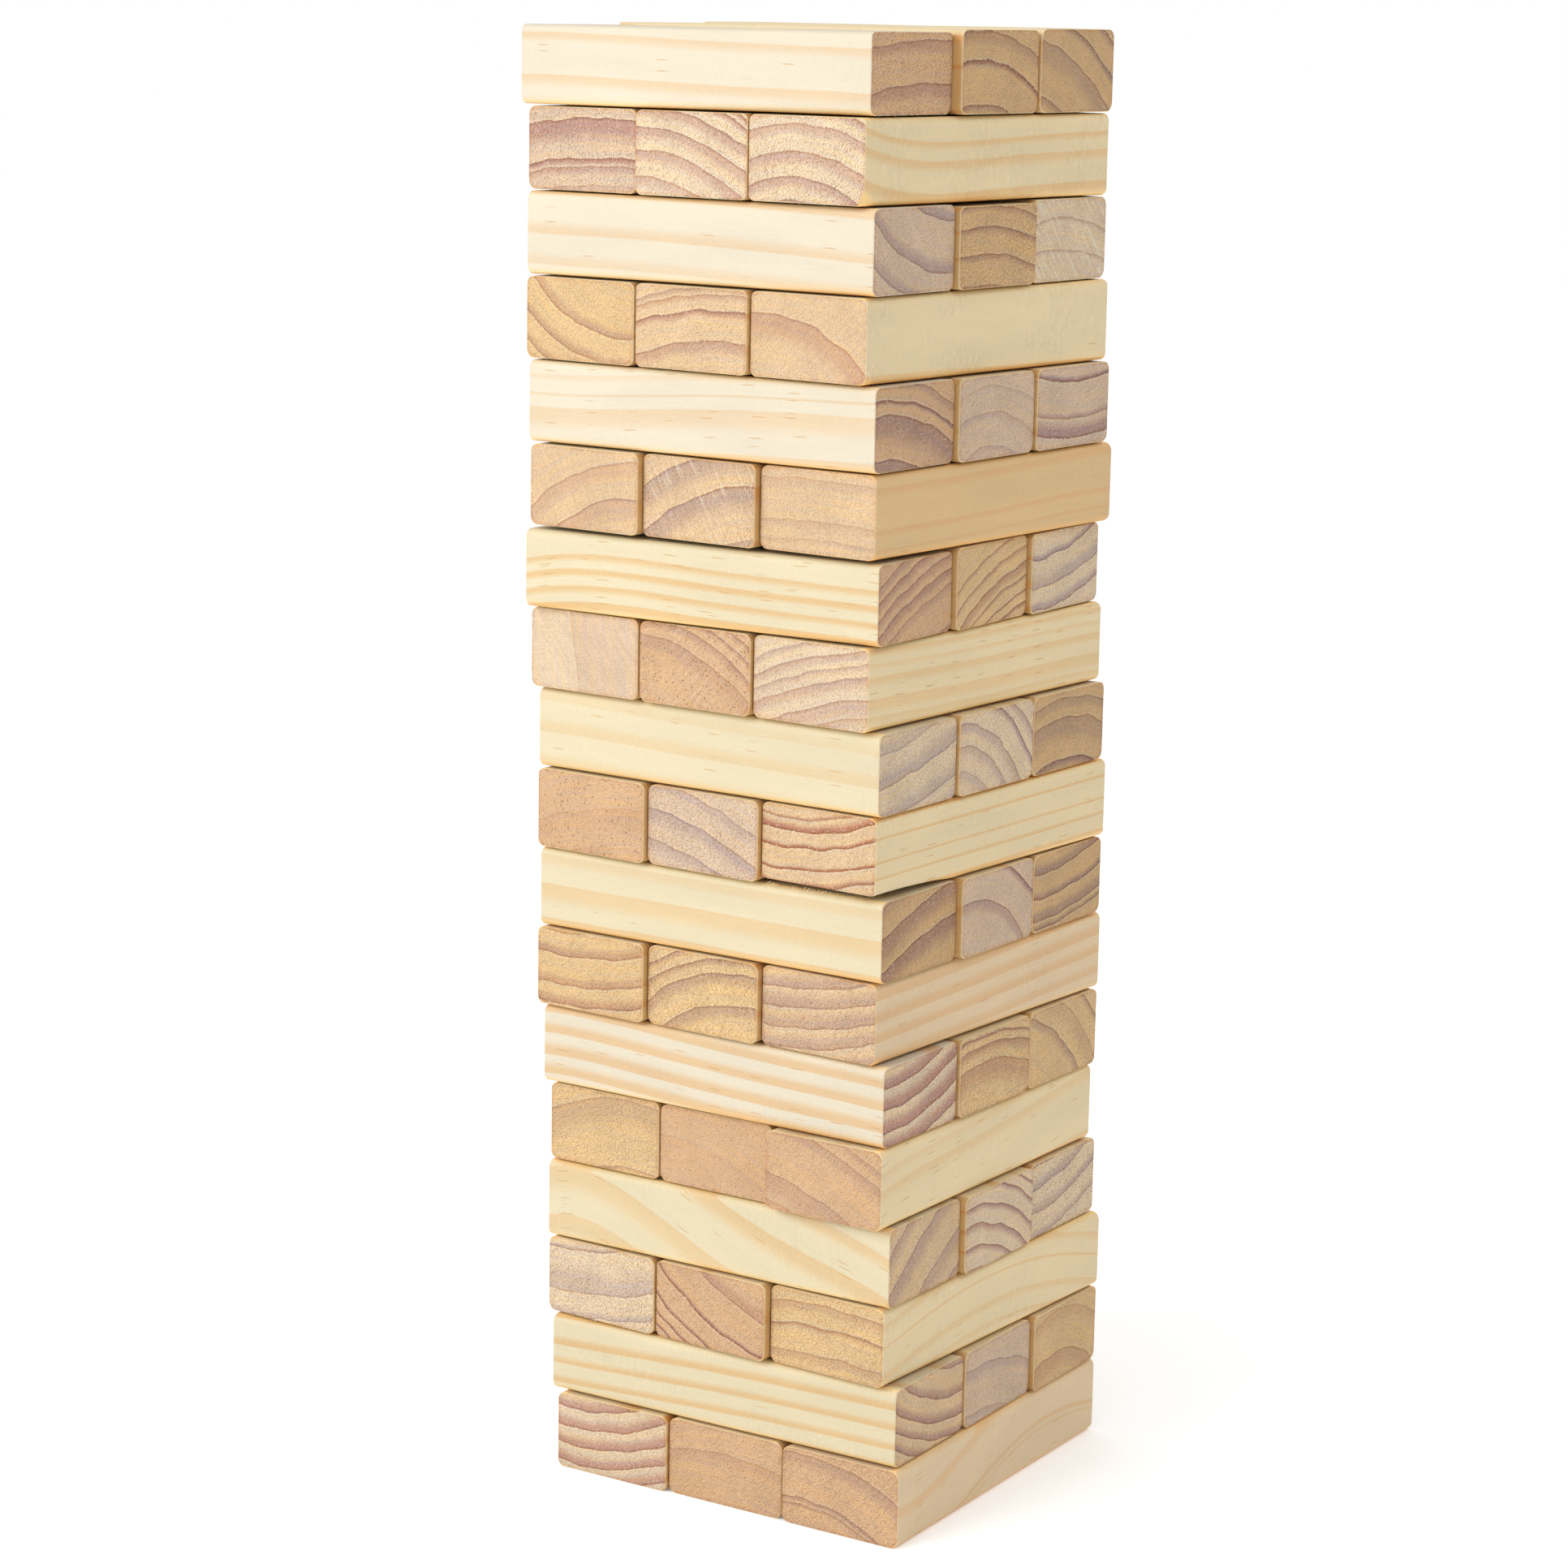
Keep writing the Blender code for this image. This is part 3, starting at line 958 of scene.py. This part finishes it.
def saw_axes(graph, grain):
    """Distance in mm across the saw's marks and along them, and the marks' strength."""
    saw_x, saw_z, strength = graph.separate(graph.own("saw"))
    _, across, up = graph.separate(grain)
    cut = graph.total((across, saw_x), (up, saw_z))
    run = graph.minus(graph.times(across, saw_z), graph.times(up, saw_x))
    return cut, run, strength


def strayed_rings(graph, grain, ring, arc, jag):
    """The ring scale on a sawn end, where rings stray broadly, and finely by jag mm."""
    coarse = graph.noise(grain, 0.07, 1.0, 0.3)
    fine = graph.noise(graph.combine(graph.times(arc, 0.7), ring, 0.0), 0.9)
    strayed = graph.plus(ring, graph.ramp(coarse, 0.3, 0.7, -0.7, 0.7))
    return graph.plus(strayed, graph.times(graph.ramp(fine, 0.3, 0.7, -1, 1), jag))


def end_tones(graph, ring, arc, halo, core):
    """Early and late wood on a sawn end, with painted glints by the bands and thin tinted layers."""
    colour = graph.mix(halo, graph.own("early_end"), graph.own("halo_end"))
    colour = graph.mix(core, colour, graph.own("core_end"))
    # Painted glint just outside each band's edge.
    glint = graph.times(ring_edge_glints(graph, ring), 0.35)
    colour = graph.mix(glint, colour, tuple(linear(CREAM_AND_GLINT)))
    place = graph.combine(graph.times(ring, 0.6), graph.times(arc, 0.02), 0.0)
    layers = graph.noise(place, 1.0, 3.0, 0.6)
    tint = graph.mix(graph.ramp(layers, 0.35, 0.65), COOL_LAYER, WARM_LAYER)
    return graph.mix(1.0, colour, tint, "MULTIPLY")


def end_shade(graph, grain, ring, arc, tear):
    """The brightness of a sawn end, around 1: clouds, mottle and rays."""
    shade = graph.ramp(graph.noise(grain, 0.05), 0.3, 0.7, 0.94, 1.05)
    mottle = graph.ramp(graph.noise(grain, 0.5, 3.0, 0.6), 0.3, 0.7, -0.07, 0.07)
    shade = graph.times(shade, graph.plus(graph.times(mottle, tear), 1.0))
    place = graph.combine(graph.times(arc, 1.3), graph.times(ring, 0.06), 0.0)
    return graph.times(shade, graph.ramp(graph.noise(place), 0.3, 0.7, 0.965, 1.03))


def saw_marks(graph, cut, run, strength):
    """How high the saw left the wood, between -1 and 1 at full strength."""
    place = graph.combine(graph.times(cut, 0.6), graph.times(run, 0.05), 0.0)
    return graph.times(graph.ramp(graph.noise(place), 0.35, 0.65, -1.0, 1.0), strength)


def torn_fibres(graph, colour, cut, run, late, tear):
    """The colour with pale tips and painted highlights, painted shade in holes, painted light and shadow,
    and the height.
    """
    torn = graph.combine(graph.times(cut, TORN_SCALE[0]), graph.times(run, TORN_SCALE[1]), 0.0)
    grit = graph.grains(torn)
    # Painted light and shadow of the raised grain: its height here against a step away.
    shadow_x, shadow_z, strength = graph.separate(graph.own("shadow"))
    behind = graph.vector("ADD", torn, graph.combine(shadow_x, shadow_z, 0.0))
    relief = graph.times(graph.minus(grit, graph.grains(behind)), strength)
    # Pale tips of torn fibres, with a painted highlight, on the highest grains.
    tips_and_highlights = graph.times(graph.ramp(grit, 0.54, 0.66), tear)
    tips_and_highlights = graph.times(tips_and_highlights, graph.ramp(late, 0.0, 1.0, 0.75, 0.25))
    colour = graph.tinted(tips_and_highlights, colour, PALE_TIP_AND_HIGHLIGHT)
    # Painted shade in the holes between the fibres, on the lowest grains.
    hole_shade = graph.times(graph.ramp(grit, 0.44, 0.32), tear)
    colour = graph.tinted(graph.times(hole_shade, 0.6), colour, HOLE_SHADE)
    lit = graph.combine(*(graph.times(relief, share) for share in RELIEF_TINT))
    lit = graph.vector("ADD", lit, (1.0, 1.0, 1.0))
    return graph.vector("MULTIPLY", colour, lit), grit


def end_marks(graph, colour, grain, late, pits):
    """The colour with resin canals, pale beads in late wood and the rims' painted glow, and the canals."""
    pit = graph.times(graph.ramp(graph.dots(grain, 0.42), 0.20, 0.10), pits)
    colour = graph.mix(graph.times(pit, 0.7), colour, tuple(linear(CANAL)))
    beads = graph.ramp(graph.dots(grain, 0.6), 0.26, 0.14)
    beads = graph.times(graph.times(beads, graph.ramp(late, 0.3, 0.7)), 0.6)
    colour = graph.mix(beads, colour, tuple(linear(CREAM_AND_GLINT)))
    # Painted glow of light scattered through the wood at the rims, which turns them redder and darker.
    rim_glow = graph.ramp(graph.mesh("rim"), 1.8, 0.2)
    rim_glow = graph.times(rim_glow, graph.ramp(graph.noise(grain, 0.3), 0.35, 0.6))
    return graph.tinted(graph.times(rim_glow, 0.5), colour, RIM_GLOW), pit


def end_material():
    """Sawn end grain: ring arcs, torn pale specks, canal pits, rays and saw marks."""
    graph = Graph("sawn_pine")
    grain = graph.mesh("grain", "Vector")
    place = graph.mesh("ring")
    arc = graph.mesh("arc")
    pits, specks, jag = graph.separate(graph.own("marks_end"))
    tear = graph.ramp(specks, 0.0, 1.0, 0.2, 1.0)
    cut, run, saw_strength = saw_axes(graph, grain)
    ring = strayed_rings(graph, grain, place, arc, jag)
    halo, core = late_wood(graph, ring, 0.3, 1.7, 1.7)
    late = graph.math("MAXIMUM", halo, core)
    sawn = saw_marks(graph, cut, run, saw_strength)
    shade = end_shade(graph, grain, place, arc, tear)
    shade = graph.times(shade, graph.ramp(sawn, -1.0, 1.0, 0.92, 1.08))
    colour = graph.scaled(end_tones(graph, ring, arc, halo, core), shade)
    colour = graph.mix(graph.ramp(sawn, 0.5, 0.9, 0.0, 0.6), colour, tuple(linear(CREAM_AND_GLINT)))
    colour, grit = torn_fibres(graph, colour, cut, run, late, tear)
    colour, pit = end_marks(graph, colour, grain, late, pits)
    height = graph.total((grit, 0.7), (sawn, 0.08), (late, 0.12))
    height = graph.minus(height, graph.times(pit, 0.15))
    return graph.finish(colour, 0.82, 0.2, height, 1.2)


# ---- the 54 blocks


# A band too far off to show, in place of each that a block doesn't have.
NO_BAND = (-999.0, 1.0, 0.0)

# How far apart, in mm, two blocks' grain lies, so that no two are alike.
GRAIN_OFFSET = np.array([211.0, 137.0, 173.0])
SHARP_ANGLE = 35


def add_values(mesh, name, values, kind):
    """Give the mesh a value or a vector at each point."""
    attribute = mesh.attributes.new(name, kind, "POINT")
    field = "value" if kind == "FLOAT" else "vector"
    attribute.data.foreach_set(field, np.asarray(values, np.float32).ravel())


def carry_wood(piece, block):
    """Give the piece the values that the materials read from it."""
    wood = block.wood
    facing = "right" if block.even else "front"
    contrast = RING_CONTRAST[facing]
    early_end, early_side = linear(END_TONES[wood.end]), linear(SIDE_TONES[wood.side])
    carried = {
        "early_end": early_end,
        "halo_end": early_end * blend(HALO_END, wood.red) ** contrast,
        "core_end": early_end * blend(CORE_END, wood.red) ** contrast,
        "early_side": early_side,
        "late_side": early_side * LATE_SIDE,
        "marks_end": (wood.pits, wood.specks, wood.jag),
        "marks_side": (wood.flecks, wood.ripples, wood.banding),
    }
    unused = [NO_BAND] * (3 * BAND_GROUPS - len(wood.bands))
    for name, values in zip(("places", "widths", "strengths"), zip(*wood.bands, *unused)):
        for group in range(BAND_GROUPS):
            carried[f"band_{name}_{group}"] = values[3 * group : 3 * group + 3]
    angle, strength = wood.saw
    turn = math.radians(angle + 90)
    flip = 1 if block.even else -1
    saw_x, saw_z = flip * math.cos(turn), math.sin(turn)
    carried["saw"] = (saw_x, saw_z, strength)
    reach_x, reach_z = flip * SHADOW_REACH, -SHADOW_REACH
    carried["shadow"] = (
        TORN_SCALE[0] * (reach_x * saw_x + reach_z * saw_z),
        TORN_SCALE[1] * (reach_x * saw_z - reach_z * saw_x),
        SHADOW_STRENGTH[facing] * (0.3 + 0.7 * wood.specks),
    )
    for name, values in carried.items():
        piece[name] = [float(value) for value in values]


def make_block(block, materials):
    """Build one block, in place, to stand for its CAD node."""
    points, faces, ends, rim = block_mesh(block)
    ring, arc = ring_field(block, points)
    name = f"{block.node}_wood"
    mesh = bpy.data.meshes.new(name)
    mesh.from_pydata((points * MM).tolist(), [], faces)
    mesh.polygons.foreach_set("material_index", np.array(ends, np.int32))
    mesh.polygons.foreach_set("use_smooth", np.ones(len(faces), bool))
    mesh.set_sharp_from_angle(angle=math.radians(SHARP_ANGLE))
    grain = points + GRAIN_OFFSET * (3 * block.level + block.place)
    grain[:, 2] -= drift_at(block.wood, points[:, 0], block.half[0])
    add_values(mesh, "grain", grain, "FLOAT_VECTOR")
    # Painted glow and shade along the arrises and hidden sides, and the amber of chip scars.
    glow_shade_scar = glow_shade_and_scar(block, points)
    for key, values in {"ring": ring, "arc": arc, "rim": rim, "glow_shade_scar": glow_shade_scar}.items():
        add_values(mesh, key, values, "FLOAT")
    for material in materials:
        mesh.materials.append(material)
    mesh.transform(block.matrix)
    piece = bpy.data.objects.new(name, mesh)
    bpy.context.scene.collection.objects.link(piece)
    carry_wood(piece, block)
    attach(piece, block.node)
    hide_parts(block.node)


wood_materials = (side_material(), end_material())
for level in range(1, len(WOOD) + 1):
    places = EVEN_PLACES if level % 2 == 0 else ODD_PLACES
    for place, word in enumerate(places):
        make_block(Block(level, place, f"block_{level:02d}_{word}"), wood_materials)


# ---- floor, light and camera

FLOOR_SIZE = 30.0
CAMERA_AZIMUTH = 34.76
CAMERA_ELEVATION = 11.21
CAMERA_ROLL = 1.03
CAMERA_DISTANCE = 1.861
CAMERA_AIM = Vector((-0.0161, -0.0114, 0.3318))
CAMERA_LENS = 90.28
CAMERA_SENSOR = 36.0
LIGHT_AIM = Vector((0, 0, 0.35))


def make_floor():
    mesh = bpy.data.meshes.new("floor")
    side = FLOOR_SIZE / 2
    corners = [(-side, -side, 0), (side, -side, 0), (side, side, 0), (-side, side, 0)]
    mesh.from_pydata(corners, [], [(0, 1, 2, 3)])
    floor = bpy.data.objects.new("floor", mesh)
    bpy.context.scene.collection.objects.link(floor)
    graph = Graph("floor_white")
    looks = {"Base Color": (0.9,) * 3, "Roughness": 0.9, "Specular IOR Level": 0.0,
             "Emission Color": (1.0,) * 3, "Emission Strength": 0.1}
    for name, value in looks.items():
        graph.feed(graph.shader.inputs[name], value)
    mesh.materials.append(graph.material)


def make_light(name, azimuth, elevation, distance, size, power):
    """A square soft box, aimed at the tower's middle."""
    back = direction(math.radians(azimuth), math.radians(elevation))
    data = bpy.data.lights.new(name, "AREA")
    data.shape = "SQUARE"
    data.size = size
    data.energy = power
    light = bpy.data.objects.new(name, data)
    light.location = LIGHT_AIM + back * distance
    light.rotation_mode = "QUATERNION"
    light.rotation_quaternion = (-back).to_track_quat("-Z", "Y")
    bpy.context.scene.collection.objects.link(light)


def make_world(strength):
    world = bpy.data.worlds.new("studio")
    bpy.context.scene.world = world
    world.use_nodes = True
    background = world.node_tree.nodes["Background"]
    background.inputs["Color"].default_value = (1.0, 1.0, 1.0, 1.0)
    background.inputs["Strength"].default_value = strength


def make_camera():
    azimuth, roll = math.radians(CAMERA_AZIMUTH), math.radians(CAMERA_ROLL)
    back = direction(azimuth, math.radians(CAMERA_ELEVATION))
    level = Vector((math.cos(azimuth), math.sin(azimuth), 0))
    upright = back.cross(level)
    right = math.cos(roll) * level + math.sin(roll) * upright
    up = math.cos(roll) * upright - math.sin(roll) * level
    data = bpy.data.cameras.new("camera")
    data.lens = CAMERA_LENS
    data.sensor_width = CAMERA_SENSOR
    camera = bpy.data.objects.new("camera", data)
    camera.matrix_world = placed(CAMERA_AIM + back * CAMERA_DISTANCE, right, up, back)
    bpy.context.scene.collection.objects.link(camera)
    bpy.context.scene.camera = camera


make_floor()
make_world(1.0)
make_light("key", -20, 26, 1.9, 1.2, 27.0)
make_light("fill", 85, 50, 2.6, 0.8, 9.0)
make_camera()
bpy.context.scene.view_settings.view_transform = "Standard"
